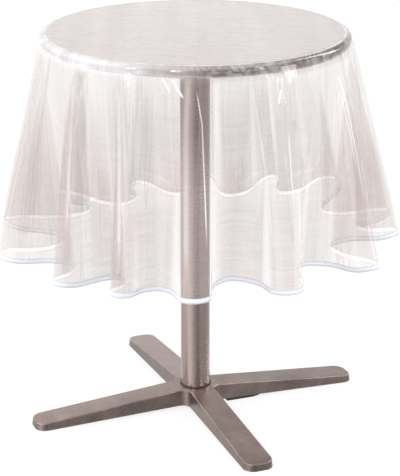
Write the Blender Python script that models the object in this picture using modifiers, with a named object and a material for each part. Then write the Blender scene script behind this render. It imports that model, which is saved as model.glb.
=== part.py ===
"""A round pedestal table with a round tablecloth of clear film over it.

Metres, +Z up. The origin is on the floor, on the axis of the column.
"""
import math

import bmesh
import bpy
from mathutils import Matrix, Vector

# ---- driving dimensions ----
TABLE_HEIGHT = 0.750
TOP_RADIUS = 0.290
RIM_RADIUS = 0.0107          # the top's edge is a half round of this radius
CLOTH_RADIUS = 0.700         # the round cut of the cloth, hem tape included
COLUMN_RADIUS = 0.0284
ARM_REACH = 0.332            # column axis to the tip of a base arm
ARM_ANGLE = math.radians(21.4)
ARM_COUNT = 4
GAP = 0.0003                 # between pieces that touch

# ---- table top ----
SKIN_WALL = 0.0008
SKIN_LIP = 0.012
CORE_CLEAR = SKIN_WALL + GAP
CORE_TOP = TABLE_HEIGHT - CORE_CLEAR
CORE_BOTTOM = TABLE_HEIGHT - 2 * RIM_RADIUS + CORE_CLEAR
PILOT_RADIUS = 0.0022
PILOT_DEPTH = 0.0135

# ---- bracket under the top ----
BRACKET_TOP = CORE_BOTTOM - GAP
BRACKET_HUB_RADIUS = 0.034
BRACKET_HUB_HEIGHT = 0.026
BRACKET_HUB_BOTTOM = BRACKET_TOP - BRACKET_HUB_HEIGHT
BRACKET_REACH = 0.150
BRACKET_ARM_DEEP = 0.016
BRACKET_ARM_THIN = 0.004
BRACKET_ARM_HALF_WIDTH = 0.014
SCREW_AT = 0.136
SCREW_HEAD_RADIUS = 0.0042
SCREW_HEAD_HEIGHT = 0.0026
SCREW_SHANK_RADIUS = 0.0019
SCREW_HOLE_RADIUS = 0.0024
NUT_POCKET_RADIUS = 0.0145
NUT_POCKET_DEPTH = 0.0140

# ---- column, tie rod and its nuts ----
COLUMN_WALL = 0.0015
SPIGOT_RADIUS = 0.0262
SPIGOT_HEIGHT = 0.006
ROD_RADIUS = 0.005
ROD_HOLE_RADIUS = 0.0056
WASHER_RADIUS = 0.0105
WASHER_THICK = 0.002
NUT_RADIUS = 0.0096
NUT_HEIGHT = 0.008
ROD_PAST_NUT = 0.0012
SEAT_RING_RADIUS = 0.0308
SEAT_RING_HEIGHT = 0.0016

# ---- cast base ----
HUB_TOP = 0.0402
TIP_TOP = 0.0141
HUB_WALL_FOOT = 0.0077       # height of the wall's lower edge by the hub
TIP_WALL_FOOT = 0.0022
ARM_HALF_WIDTH_HUB = 0.0255
ARM_HALF_WIDTH_TIP = 0.0277
WALL_DRAFT = 0.0015
HUB_FILLET = 0.019           # between neighbouring arms, seen from above
TIP_CORNER = 0.020
CASTING_WALL = 0.0045
HUB_BOSS_RADIUS = 0.017
HUB_BOSS_FOOT = 0.0225

# ---- levelling glides in the arm tips ----
GLIDE_AT = 0.288
GLIDE_PAD_RADIUS = 0.012
GLIDE_PAD_HEIGHT = 0.0055
GLIDE_PAD_SOCKET = 0.0043
GLIDE_STEM_RADIUS = 0.003
GLIDE_HOLE_RADIUS = 0.0034
GLIDE_HOLE_TOP = 0.0155
GLIDE_BOSS_RADIUS = 0.0085

# ---- rubber block under one arm ----
BLOCK_ARM = 0
BLOCK_START = 0.058
BLOCK_END = 0.126
BLOCK_FOOT = 0.0012

# ---- cloth ----
FILM_WALL = 0.0008
TAPE_WALL = 0.0016
TAPE_HEIGHT = 0.010
HEM_CLEAR = 0.008            # the folds never come nearer to the top's edge than this
SAMPLES_PER_FOLD = 8
SKIRT_ROWS = 5
RIM_ROWS = 2
# One line for each fold, anticlockwise: the angle and reach of its crest, its width,
# then the angle and reach of the valley after it. Degrees and metres.
FOLDS = (
    (2, 0.396, 0.026, 13, 0.320),
    (18, 0.408, 0.050, 33, 0.305),
    (48, 0.432, 0.070, 57, 0.332),
    (66, 0.400, 0.050, 76, 0.277),
    (86, 0.365, 0.050, 97, 0.278),
    (110, 0.372, 0.055, 127, 0.255),
    (138, 0.390, 0.050, 144, 0.268),
    (168, 0.394, 0.040, 182, 0.242),
    (198, 0.388, 0.060, 213, 0.265),
    (226, 0.364, 0.045, 237, 0.253),
    (247, 0.352, 0.045, 257, 0.274),
    (269, 0.363, 0.035, 284, 0.232),
    (301, 0.352, 0.050, 322, 0.246),
    (332, 0.385, 0.050, 350, 0.258),
)

ROUND_STEPS = 48
TOP_STEPS = 72
RIM_STEPS = 6


# ---- helpers ----
def clear_scene():
    for obj in list(bpy.data.objects):
        bpy.data.objects.remove(obj, do_unlink=True)


def new_collection(name, hidden=False):
    made = bpy.data.collections.new(name)
    bpy.context.scene.collection.children.link(made)
    made.hide_render = hidden
    return made


def new_material(name, colour, roughness, metallic=0.0, alpha=1.0):
    material = bpy.data.materials.new(name)
    material.use_nodes = True
    shader = material.node_tree.nodes["Principled BSDF"]
    shader.inputs["Base Color"].default_value = (*colour, 1.0)
    shader.inputs["Roughness"].default_value = roughness
    shader.inputs["Metallic"].default_value = metallic
    shader.inputs["Alpha"].default_value = alpha
    return material


def new_object(name, bm, material, collection):
    """An object made from bm, which is freed. It is shaded smooth with sharp creases."""
    mesh = bpy.data.meshes.new(name)
    bmesh.ops.recalc_face_normals(bm, faces=bm.faces)
    bm.to_mesh(mesh)
    bm.free()
    mesh.shade_smooth()
    mesh.set_sharp_from_angle(angle=math.radians(30))
    obj = bpy.data.objects.new(name, mesh)
    collection.objects.link(obj)
    if material:
        mesh.materials.append(material)
    return obj


def new_cutter(name, bm):
    obj = new_object(name, bm, None, cutters)
    obj.display_type = "WIRE"
    obj.hide_render = True
    return obj


def boolean(obj, other, operation):
    modifier = obj.modifiers.new(other.name, "BOOLEAN")
    modifier.operation = operation
    modifier.object = other
    modifier.solver = "EXACT"
    return modifier


def turned(name, profile, material, steps=ROUND_STEPS, closed=False):
    """A solid turned about Z. The profile (radius, height) runs down its outer side."""
    bm = bmesh.new()
    points = [bm.verts.new((radius, 0, height)) for radius, height in profile]
    pairs = list(zip(points, points[1:]))
    if closed:
        pairs.append((points[-1], points[0]))
    for pair in pairs:
        bm.edges.new(pair)
    mesh = bpy.data.meshes.new(name)
    bm.to_mesh(mesh)
    bm.free()
    mesh.materials.append(material)
    obj = bpy.data.objects.new(name, mesh)
    parts.objects.link(obj)
    screw = obj.modifiers.new("turn", "SCREW")
    screw.steps = steps
    screw.render_steps = steps
    screw.use_merge_vertices = True
    screw.merge_threshold = 0.00001
    screw.use_smooth_shade = True
    return obj


def ring(name, inner, outer, bottom, top, material, steps=ROUND_STEPS):
    profile = [(outer, top), (outer, bottom), (inner, bottom), (inner, top)]
    return turned(name, profile, material, steps, closed=True)


def cylinder_mesh(radius, bottom, top, at=(0, 0), sides=32):
    bm = bmesh.new()
    middle = Matrix.Translation((at[0], at[1], (bottom + top) / 2))
    bmesh.ops.create_cone(
        bm, cap_ends=True, segments=sides, radius1=radius, radius2=radius,
        depth=top - bottom, matrix=middle)
    return bm


def arc(cx, cz, radius, start, end, steps):
    """Points on an arc in a profile, from angle start to end in degrees, both ends included."""
    points = []
    for i in range(steps + 1):
        a = math.radians(start + (end - start) * i / steps)
        points.append((cx + radius * math.cos(a), cz + radius * math.sin(a)))
    return points


def arm_direction(number):
    a = ARM_ANGLE + number * 2 * math.pi / ARM_COUNT
    return Vector((math.cos(a), math.sin(a)))


def lerp(a, b, t):
    return a + (b - a) * t


# ---- table top ----
def make_top():
    edge = TOP_RADIUS - RIM_RADIUS
    middle = TABLE_HEIGHT - RIM_RADIUS
    outer = arc(edge, middle, RIM_RADIUS, 90, -90, RIM_STEPS)
    inner = arc(edge, middle, RIM_RADIUS - SKIN_WALL, -90, 90, RIM_STEPS)
    lip = edge - SKIN_LIP
    low = TABLE_HEIGHT - 2 * RIM_RADIUS
    profile = [(0, TABLE_HEIGHT), *outer, (lip, low), (lip, low + SKIN_WALL), *inner]
    profile.append((0, TABLE_HEIGHT - SKIN_WALL))
    turned("top_sheet", profile, brushed, TOP_STEPS)

    core_edge = arc(edge, middle, RIM_RADIUS - CORE_CLEAR, 90, -90, RIM_STEPS)
    core = turned("top_core", [(0, CORE_TOP), *core_edge, (0, CORE_BOTTOM)], board, TOP_STEPS)
    for number in range(ARM_COUNT):
        at = arm_direction(number) * SCREW_AT
        hole = cylinder_mesh(PILOT_RADIUS, CORE_BOTTOM - 0.01, CORE_BOTTOM + PILOT_DEPTH, at, 12)
        boolean(core, new_cutter(f"pilot_{number + 1}", hole), "DIFFERENCE")


# ---- bracket that carries the top ----
def bracket_arm(number):
    """A tapering bar from the hub to just past its screw, flat on top."""
    along = arm_direction(number)
    across = Vector((-along.y, along.x))
    bm = bmesh.new()
    loops = []
    stations = ((0.010, BRACKET_ARM_DEEP, 1.0), (0.110, BRACKET_ARM_THIN, 0.85),
                (BRACKET_REACH - 0.006, BRACKET_ARM_THIN, 0.75),
                (BRACKET_REACH, BRACKET_ARM_THIN, 0.35))
    for reach, depth, share in stations:
        half = BRACKET_ARM_HALF_WIDTH * share
        loop = []
        for side, low in ((1, 0), (-1, 0), (-1, depth), (1, depth)):
            spot = along * reach + across * half * side
            loop.append(bm.verts.new((spot.x, spot.y, BRACKET_TOP - low)))
        loops.append(loop)
    for a, b in zip(loops, loops[1:]):
        for i in range(4):
            bm.faces.new((a[i], a[(i + 1) % 4], b[(i + 1) % 4], b[i]))
    bm.faces.new(loops[0])
    bm.faces.new(reversed(loops[-1]))
    return bm


def make_bracket():
    hub = [(0, BRACKET_TOP), (BRACKET_HUB_RADIUS, BRACKET_TOP),
           (BRACKET_HUB_RADIUS, BRACKET_HUB_BOTTOM + 0.002),
           (BRACKET_HUB_RADIUS - 0.002, BRACKET_HUB_BOTTOM),
           (SPIGOT_RADIUS, BRACKET_HUB_BOTTOM),
           (SPIGOT_RADIUS, BRACKET_HUB_BOTTOM - SPIGOT_HEIGHT),
           (0, BRACKET_HUB_BOTTOM - SPIGOT_HEIGHT)]
    bracket = turned("top_bracket", hub, iron)
    for number in range(ARM_COUNT):
        boolean(bracket, new_cutter(f"bracket_arm_{number + 1}", bracket_arm(number)), "UNION")
    pocket = cylinder_mesh(NUT_POCKET_RADIUS, BRACKET_TOP - NUT_POCKET_DEPTH, BRACKET_TOP + 0.01)
    boolean(bracket, new_cutter("nut_pocket", pocket), "DIFFERENCE")
    bore = cylinder_mesh(ROD_HOLE_RADIUS, BRACKET_HUB_BOTTOM - 0.02, BRACKET_TOP + 0.01, sides=24)
    boolean(bracket, new_cutter("bracket_bore", bore), "DIFFERENCE")
    for number in range(ARM_COUNT):
        at = arm_direction(number) * SCREW_AT
        hole = cylinder_mesh(SCREW_HOLE_RADIUS, BRACKET_TOP - 0.03, BRACKET_TOP + 0.01, at, 12)
        boolean(bracket, new_cutter(f"screw_hole_{number + 1}", hole), "DIFFERENCE")


def make_bracket_screws():
    """Pan-head screws, driven up through the bracket into the board."""
    seat = BRACKET_TOP - BRACKET_ARM_THIN - GAP
    tip = CORE_BOTTOM + PILOT_DEPTH - GAP
    profile = [(0, tip), (SCREW_SHANK_RADIUS, tip - 0.003), (SCREW_SHANK_RADIUS, seat),
               (SCREW_HEAD_RADIUS, seat), (SCREW_HEAD_RADIUS, seat - 0.4 * SCREW_HEAD_HEIGHT),
               (0.6 * SCREW_HEAD_RADIUS, seat - SCREW_HEAD_HEIGHT), (0, seat - SCREW_HEAD_HEIGHT)]
    for number in range(ARM_COUNT):
        screw = turned(f"bracket_screw_{number + 1}", profile, steel, 12)
        at = arm_direction(number) * SCREW_AT
        screw.location = (at.x, at.y, 0)


# ---- column, its seat ring, the tie rod and the nuts that clamp them ----
COLUMN_FOOT = HUB_TOP + GAP + SEAT_RING_HEIGHT + GAP
COLUMN_HEAD = BRACKET_HUB_BOTTOM - GAP
TOP_WASHER_AT = BRACKET_TOP - NUT_POCKET_DEPTH + GAP
TOP_NUT_AT = TOP_WASHER_AT + WASHER_THICK + GAP
BOTTOM_WASHER_AT = HUB_BOSS_FOOT - GAP - WASHER_THICK
BOTTOM_NUT_AT = BOTTOM_WASHER_AT - GAP - NUT_HEIGHT


def make_nut(name, bottom):
    nut = new_object(name, cylinder_mesh(NUT_RADIUS, bottom, bottom + NUT_HEIGHT, sides=6),
                     steel, parts)
    bore = cylinder_mesh(ROD_RADIUS + GAP, bottom - 0.01, bottom + NUT_HEIGHT + 0.01, sides=20)
    boolean(nut, new_cutter(f"{name}_bore", bore), "DIFFERENCE")


def make_column():
    ring("seat_ring", SPIGOT_RADIUS + GAP, SEAT_RING_RADIUS, HUB_TOP + GAP,
         HUB_TOP + GAP + SEAT_RING_HEIGHT, dark_rubber)
    ring("column_tube", COLUMN_RADIUS - COLUMN_WALL, COLUMN_RADIUS, COLUMN_FOOT, COLUMN_HEAD,
         taupe)
    rod_foot = BOTTOM_NUT_AT - ROD_PAST_NUT
    rod_head = TOP_NUT_AT + NUT_HEIGHT + ROD_PAST_NUT
    new_object("tie_rod", cylinder_mesh(ROD_RADIUS, rod_foot, rod_head, sides=20), steel, parts)
    ring("top_washer", ROD_RADIUS + GAP, WASHER_RADIUS, TOP_WASHER_AT,
         TOP_WASHER_AT + WASHER_THICK, steel, 24)
    ring("bottom_washer", ROD_RADIUS + GAP, WASHER_RADIUS, BOTTOM_WASHER_AT,
         BOTTOM_WASHER_AT + WASHER_THICK, steel, 24)
    make_nut("top_nut", TOP_NUT_AT)
    make_nut("bottom_nut", BOTTOM_NUT_AT)


# ---- cast base ----
HUB_CORNER = ARM_HALF_WIDTH_HUB + HUB_FILLET * (1 - math.sqrt(0.5))


def arm_slope(low_at_hub, low_at_tip, along):
    share = (along - HUB_CORNER) / (ARM_REACH - HUB_CORNER)
    return lerp(low_at_hub, low_at_tip, max(0.0, share))


def arm_stations():
    """(distance from the axis, half width) down one arm: hub fillet, straight sides, tip."""
    stations = []
    fillet_end = ARM_HALF_WIDTH_HUB + HUB_FILLET
    for i in range(5):
        a = math.radians(45 * i / 4)
        along = fillet_end - HUB_FILLET * math.sin(math.radians(45) - a)
        half = fillet_end - HUB_FILLET * math.cos(math.radians(45) - a)
        stations.append((along, half))
    corner = ARM_REACH - TIP_CORNER
    stations.append((corner, ARM_HALF_WIDTH_TIP))
    for i in range(1, 7):
        a = math.radians(90 * i / 6)
        stations.append((corner + TIP_CORNER * math.sin(a),
                         ARM_HALF_WIDTH_TIP - TIP_CORNER * (1 - math.cos(a))))
    return stations


def casting_shell():
    """The cross-shaped top face and its drafted walls, open underneath."""
    bm = bmesh.new()
    crown = []
    stations = arm_stations()
    for number in range(ARM_COUNT):
        along = arm_direction(number)
        across = Vector((-along.y, along.x))
        left, right, left_foot, right_foot = [], [], [], []
        for reach, half in stations:
            top = arm_slope(HUB_TOP, TIP_TOP, reach)
            foot = arm_slope(HUB_WALL_FOOT, TIP_WALL_FOOT, reach)
            past = WALL_DRAFT * max(0.0, (reach - 0.9 * ARM_REACH) / (0.1 * ARM_REACH))
            for side, tops, feet in ((1, left, left_foot), (-1, right, right_foot)):
                spot = along * reach + across * half * side
                low = along * (reach + past) + across * (half + WALL_DRAFT) * side
                if reach == stations[0][0]:
                    low = spot * (1 + WALL_DRAFT / spot.length)
                tops.append(bm.verts.new((spot.x, spot.y, top)))
                feet.append(bm.verts.new((low.x, low.y, foot)))
        for i in range(len(left) - 1):
            bm.faces.new((left[i], right[i], right[i + 1], left[i + 1]))
            bm.faces.new((left[i], left[i + 1], left_foot[i + 1], left_foot[i]))
            bm.faces.new((right[i + 1], right[i], right_foot[i], right_foot[i + 1]))
        bm.faces.new((left[-1], right[-1], right_foot[-1], left_foot[-1]))
        crown.append((right[0], left[0]))
    bm.faces.new([corner[0] for corner in crown])
    bmesh.ops.remove_doubles(bm, verts=bm.verts, dist=0.00002)
    return bm


def make_base():
    base = new_object("base_casting", casting_shell(), taupe, parts)
    wall = base.modifiers.new("wall", "SOLIDIFY")
    wall.thickness = CASTING_WALL
    wall.offset = -1
    wall.use_even_offset = True
    boss = cylinder_mesh(HUB_BOSS_RADIUS, HUB_BOSS_FOOT, HUB_TOP - 0.001)
    boolean(base, new_cutter("hub_boss", boss), "UNION")
    spigot = cylinder_mesh(SPIGOT_RADIUS, HUB_TOP - 0.002, HUB_TOP + SPIGOT_HEIGHT, sides=48)
    boolean(base, new_cutter("column_spigot", spigot), "UNION")
    for number in range(ARM_COUNT):
        at = arm_direction(number) * GLIDE_AT
        lug = cylinder_mesh(GLIDE_BOSS_RADIUS, GLIDE_PAD_HEIGHT + GAP,
                            arm_slope(HUB_TOP, TIP_TOP, GLIDE_AT) - 0.003, at, 20)
        boolean(base, new_cutter(f"glide_boss_{number + 1}", lug), "UNION")
    bore = cylinder_mesh(ROD_HOLE_RADIUS, -0.01, HUB_TOP + 0.03, sides=24)
    boolean(base, new_cutter("base_bore", bore), "DIFFERENCE")
    for number in range(ARM_COUNT):
        at = arm_direction(number) * GLIDE_AT
        hole = cylinder_mesh(GLIDE_HOLE_RADIUS, -0.01, GLIDE_HOLE_TOP, at, 16)
        boolean(base, new_cutter(f"glide_hole_{number + 1}", hole), "DIFFERENCE")


def make_glides():
    """Four screw-in glides. Each is parented to an empty on its own axis."""
    pad_profile = [(GLIDE_HOLE_RADIUS, GLIDE_PAD_HEIGHT), (0.010, GLIDE_PAD_HEIGHT),
                   (GLIDE_PAD_RADIUS, 0.0040), (GLIDE_PAD_RADIUS, 0.0008),
                   (GLIDE_PAD_RADIUS - 0.0008, 0), (0, 0)]
    socket = [(0, GLIDE_PAD_SOCKET), (GLIDE_HOLE_RADIUS, GLIDE_PAD_SOCKET)]
    stem_foot = GLIDE_PAD_SOCKET + GAP
    for number in range(ARM_COUNT):
        at = arm_direction(number) * GLIDE_AT
        axis = bpy.data.objects.new(f"glide_axis_{number + 1}", None)
        axis.location = (at.x, at.y, 0)
        parts.objects.link(axis)
        pad = turned(f"glide_pad_{number + 1}", socket + pad_profile, black_plastic, 24)
        stem_mesh = cylinder_mesh(GLIDE_STEM_RADIUS, stem_foot, GLIDE_HOLE_TOP - 0.0005, sides=16)
        stem = new_object(f"glide_stem_{number + 1}", stem_mesh, steel, parts)
        pad.parent = axis
        stem.parent = axis


def make_block():
    """A low rubber block across the underside of one arm, just clear of the floor."""
    along = arm_direction(BLOCK_ARM)
    across = Vector((-along.y, along.x))
    bm = bmesh.new()
    loops = []
    for reach, foot in ((BLOCK_START, BLOCK_FOOT), (BLOCK_END - 0.012, BLOCK_FOOT),
                        (BLOCK_END, BLOCK_FOOT + 0.002)):
        top = arm_slope(HUB_WALL_FOOT, TIP_WALL_FOOT, reach) - GAP
        half = ARM_HALF_WIDTH_HUB + 0.0008
        loop = []
        for side, height in ((1, top), (-1, top), (-1, foot), (1, foot)):
            spot = along * reach + across * half * side
            loop.append(bm.verts.new((spot.x, spot.y, height)))
        loops.append(loop)
    for a, b in zip(loops, loops[1:]):
        for i in range(4):
            bm.faces.new((a[i], a[(i + 1) % 4], b[(i + 1) % 4], b[i]))
    bm.faces.new(loops[0])
    bm.faces.new(reversed(loops[-1]))
    new_object("rubber_block", bm, dark_rubber, parts)


# ---- cloth ----
def hem_points():
    """Control points of the hem seen from above: shoulder, crest, shoulder, valley."""
    points = []
    for crest, reach, width, valley, valley_reach in FOLDS:
        a, b = math.radians(crest), math.radians(valley)
        along = Vector((math.cos(a), math.sin(a)))
        across = Vector((-along.y, along.x))
        shoulder = reach - 0.45 * width
        points.append(along * shoulder - across * width / 2)
        points.append(along * reach)
        points.append(along * shoulder + across * width / 2)
        reach_in = max(valley_reach, TOP_RADIUS + HEM_CLEAR)
        points.append(Vector((math.cos(b), math.sin(b))) * reach_in)
    return points


def spline(points, samples):
    """Evenly spaced points on a closed Catmull-Rom curve through the given ones."""
    fine, count = [], len(points)
    for i in range(count):
        a, b, c, d = (points[(i + k - 1) % count] for k in range(4))
        for step in range(12):
            t = step / 12
            fine.append(0.5 * (2 * b + (c - a) * t + (2 * a - 5 * b + 4 * c - d) * t * t
                               + (3 * b - a - 3 * c + d) * t ** 3))
    reach = [0.0]
    for a, b in zip(fine, fine[1:] + fine[:1]):
        reach.append(reach[-1] + (b - a).length)
    even, i = [], 0
    for k in range(samples):
        want = reach[-1] * k / samples
        while reach[i + 1] < want:
            i += 1
        share = (want - reach[i]) / (reach[i + 1] - reach[i])
        even.append(fine[i].lerp(fine[(i + 1) % len(fine)], share))
    return even


def skirt_point(hem, angle, distance):
    """A point of the cloth's inner face, that far down the straight line from rim to hem."""
    widest = TOP_RADIUS + GAP
    rim_height = TABLE_HEIGHT - RIM_RADIUS
    rim = Vector((widest * math.cos(angle), widest * math.sin(angle)))
    drop_length = CLOTH_RADIUS - (TOP_RADIUS - RIM_RADIUS) - math.pi / 2 * RIM_RADIUS
    run = (hem - rim).length
    drop = math.sqrt(drop_length ** 2 - run ** 2)
    spot = rim.lerp(hem, distance / drop_length)
    nearest = widest + 0.003 * min(1.0, distance / 0.05)
    spot = spot * max(1.0, nearest / spot.length)
    return Vector((spot.x, spot.y, rim_height - drop * distance / drop_length))


def make_cloth():
    count = SAMPLES_PER_FOLD * len(FOLDS)
    hem = spline(hem_points(), count)
    start = math.atan2(hem[0].y, hem[0].x)
    angles = [start + 2 * math.pi * k / count for k in range(count)]
    drop_length = CLOTH_RADIUS - (TOP_RADIUS - RIM_RADIUS) - math.pi / 2 * RIM_RADIUS
    film_end = drop_length - TAPE_HEIGHT - GAP

    film = bmesh.new()
    centre = film.verts.new((0, 0, TABLE_HEIGHT + GAP))
    edge = TOP_RADIUS - RIM_RADIUS
    rings = []
    for radius, height in arc(edge, TABLE_HEIGHT - RIM_RADIUS, RIM_RADIUS + GAP, 90, 0, RIM_ROWS + 1):
        rings.append([film.verts.new((radius * math.cos(a), radius * math.sin(a), height))
                      for a in angles])
    for row in range(1, SKIRT_ROWS + 1):
        distance = film_end * row / SKIRT_ROWS
        rings.append([film.verts.new(skirt_point(h, a, distance)) for h, a in zip(hem, angles)])
    for k in range(count):
        film.faces.new((centre, rings[0][k], rings[0][(k + 1) % count]))
    for a, b in zip(rings, rings[1:]):
        for k in range(count):
            film.faces.new((a[k], b[k], b[(k + 1) % count], a[(k + 1) % count]))
    cloth = new_object("tablecloth", film, clear_film, parts)

    tape = bmesh.new()
    upper = [tape.verts.new(skirt_point(h, a, film_end + GAP)) for h, a in zip(hem, angles)]
    lower = [tape.verts.new(skirt_point(h, a, drop_length)) for h, a in zip(hem, angles)]
    for k in range(count):
        tape.faces.new((upper[k], lower[k], lower[(k + 1) % count], upper[(k + 1) % count]))
    binding = new_object("hem_binding", tape, white_tape, parts)

    lift = bpy.data.objects.new("cloth_lift_axis", None)
    parts.objects.link(lift)
    for obj, wall in ((cloth, FILM_WALL), (binding, TAPE_WALL)):
        thick = obj.modifiers.new("wall", "SOLIDIFY")
        thick.thickness = wall
        thick.offset = 1
        obj.parent = lift


clear_scene()
parts = new_collection("tablecloth_on_a_table")
cutters = new_collection("cutters", hidden=True)

taupe = new_material("taupe_metal", (0.30, 0.26, 0.245), 0.35, 0.9)
brushed = new_material("brushed_sheet", (0.52, 0.49, 0.47), 0.32, 0.9)
board = new_material("top_board", (0.46, 0.35, 0.24), 0.7)
iron = new_material("bracket_iron", (0.03, 0.03, 0.03), 0.55, 0.4)
steel = new_material("zinc_steel", (0.55, 0.55, 0.56), 0.3, 1.0)
dark_rubber = new_material("dark_rubber", (0.03, 0.025, 0.025), 0.6)
black_plastic = new_material("black_plastic", (0.02, 0.02, 0.02), 0.5)
clear_film = new_material("clear_film", (0.93, 0.91, 0.91), 0.08, alpha=0.25)
white_tape = new_material("white_tape", (0.92, 0.92, 0.94), 0.6)

make_top()
make_bracket()
make_bracket_screws()
make_column()
make_base()
make_glides()
make_block()
make_cloth()
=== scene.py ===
import math

import bmesh
import bpy
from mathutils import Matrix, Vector, noise


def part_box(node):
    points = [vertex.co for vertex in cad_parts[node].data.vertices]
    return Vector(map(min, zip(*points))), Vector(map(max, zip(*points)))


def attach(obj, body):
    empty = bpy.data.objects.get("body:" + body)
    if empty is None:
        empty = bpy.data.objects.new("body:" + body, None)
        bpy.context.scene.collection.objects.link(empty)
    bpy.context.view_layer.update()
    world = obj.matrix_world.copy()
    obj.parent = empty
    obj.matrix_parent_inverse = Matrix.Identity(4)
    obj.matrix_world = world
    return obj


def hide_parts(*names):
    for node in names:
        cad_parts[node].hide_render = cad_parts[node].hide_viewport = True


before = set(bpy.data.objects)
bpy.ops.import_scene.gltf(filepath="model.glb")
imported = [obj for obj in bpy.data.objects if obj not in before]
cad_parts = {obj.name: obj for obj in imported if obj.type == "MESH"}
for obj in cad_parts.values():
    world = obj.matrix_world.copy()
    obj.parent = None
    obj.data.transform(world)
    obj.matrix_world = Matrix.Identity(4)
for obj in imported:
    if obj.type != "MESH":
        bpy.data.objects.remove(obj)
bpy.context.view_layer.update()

# ---- sizes taken from the frame ----
column_low, column_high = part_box("column_tube")
sheet_low, sheet_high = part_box("top_sheet")
ring_low, ring_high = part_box("seat_ring")

TABLE_HEIGHT = sheet_high.z
TOP_RADIUS = sheet_high.x
RIM_RADIUS = (sheet_high.z - sheet_low.z) / 2
FLAT_RADIUS = TOP_RADIUS - RIM_RADIUS
COLUMN_RADIUS = column_high.x

# ---- table top, column and ring, in metres ----
SKIN_WALL = 0.0008
SKIN_LIP = 0.012
COLUMN_WALL = 0.0015
COLUMN_EASE = 0.0004
RING_INNER_RADIUS = 0.0265
RING_EASE = 0.0005

# ---- cast base, in metres: as in the CAD, but its walls reach a little lower at the tips ----
ARM_COUNT = 4
ARM_ANGLE = math.radians(21.4)
ARM_REACH = 0.332
HUB_TOP = 0.0402
TIP_TOP = 0.0141
HUB_WALL_FOOT = 0.0077
TIP_WALL_FOOT = 0.0006
ARM_HALF_WIDTH_HUB = 0.0255
ARM_HALF_WIDTH_TIP = 0.0277
WALL_DRAFT = 0.0015
END_DRAFT_SHARE = 0.1
HUB_FILLET = 0.019
TIP_CORNER = 0.020
CASTING_WALL = 0.0045
CASTING_EASE = 0.0018
GLIDE_AT = 0.288
GLIDE_BOSS_RADIUS = 0.0085
GLIDE_BOSS_FOOT = 0.0058
GLIDE_HOLE_RADIUS = 0.0034
GLIDE_HOLE_TOP = 0.0155
GLIDE_HOLE_FOOT = -0.01
HUB_BOSS_RADIUS = 0.017
HUB_BOSS_FOOT = 0.0225
HUB_BORE_RADIUS = 0.0056
SPIGOT_RADIUS = 0.0262
SPIGOT_HEIGHT = 0.006
# how far below the top of the arm or hub the bosses end and the spigot starts
GLIDE_BOSS_SINK = 0.003
HUB_BOSS_SINK = 0.001
SPIGOT_SINK = 0.002

# ---- cloth, in metres; TAPE_OVERLAP and STITCH_AT are shares of the tape's height ----
CLOTH_RADIUS = 0.700
GAP = 0.0003
TAPE_HEIGHT = 0.0098
TAPE_OVERLAP = 0.4
TAPE_HALF_THICKNESS = 0.0009
TAPE_RUFFLE = 0.0006
THREAD_RADIUS = 0.00028
THREAD_OUT = 0.0006
STITCH_AT = 0.24
DROP_LENGTH = CLOTH_RADIUS - FLAT_RADIUS - math.pi / 2 * RIM_RADIUS

# ---- unevenness of the film, in metres ----
FLAT_SLACK = 0.0003
RIM_GATHER = (0.0003, 0.0006)
DROP_GATHER = (0.0006, 0.0022)
WAVE_HEIGHT = 0.006

# ---- how finely the cloth is divided ----
HEM_SAMPLES = 1260
SKIRT_ROWS = 60
RIM_ROWS = 8
TOP_ROWS = 30

# ---- the cloth's folds, anticlockwise from the right ----
# Angles in degrees and reaches in metres, seen from above: neck and shoulder on the first side,
# the crest and its reach, shoulder and neck on the second side, then the valley and its reach.
FOLDS = (
    (0, 358.5, 361.5, 0.396, 364.5, 367, 373, 0.320),
    (14, 15, 18, 0.408, 22, 26, 33, 0.306),
    (39.5, 42.5, 48, 0.433, 52, 53, 58, 0.332),
    (61.3, 63, 65.5, 0.403, 68.5, 70, 76, 0.277),
    (81, 83.5, 86.5, 0.374, 90, 92, 97, 0.280),
    (102.5, 106, 110, 0.370, 114, 114.5, 126, 0.257),
    (130, 132.7, 137, 0.387, 140.5, 135.5, 144, 0.270),
    (154, 162, 168, 0.392, 171, 171.5, 183, 0.242),
    (191, 193, 199, 0.388, 203, 204, 212, 0.266),
    (220, 222, 226, 0.363, 230, 231.5, 237, 0.254),
    (243.5, 242, 245.5, 0.343, 249.5, 251, 257, 0.275),
    (263, 265.5, 269.5, 0.344, 275, 276.5, 285, 0.234),
    (295.3, 296, 301, 0.348, 306.7, 313, 322, 0.246),
    (330, 328, 331.5, 0.384, 336.5, 341.5, 350, 0.259),
)

# ---- painted highlights and glints: the light lines down the front of the skirt, where the film is creased ----
# Each has its half width in metres, its strength, and from the top down the places that it runs
# through, which are a height and a distance to the right of the axis.
FRONT_GLINTS = (
    (0.0066, 0.21, ((0.735, -0.0118), (0.640, -0.0152), (0.36, -0.0156))),
    (0.0019, 0.48, ((0.712, 0.0030), (0.653, 0.0128), (0.517, 0.0183), (0.43, 0.0215))),
    (0.0042, 0.34, ((0.724, 0.0965), (0.567, 0.1228), (0.39, 0.1400))),
    (0.0050, 0.24, ((0.710, -0.1300), (0.375, -0.1330))),
    (0.0042, 0.24, ((0.712, -0.2110), (0.42, -0.2300))),
    (0.0040, 0.30, ((0.716, 0.2157), (0.535, 0.2500), (0.42, 0.2680))),
    (0.0030, 0.85, ((0.729, -0.0530), (0.706, -0.0424))),
    (0.0036, 0.90, ((0.730, -0.0385), (0.696, -0.0190))),
    (0.0030, 0.80, ((0.704, 0.1486), (0.676, 0.1450))),
    (0.0026, 0.80, ((0.736, -0.1110), (0.710, -0.1150))),
)


# ---- small helpers ----
def lerp(a, b, t):
    return a + (b - a) * t


def smooth(low, high, x):
    """0 where x is at low or beyond, 1 at high or beyond, with soft ends. Either may be larger."""
    t = min(1.0, max(0.0, (x - low) / (high - low)))
    return t * t * (3 - 2 * t)


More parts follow.
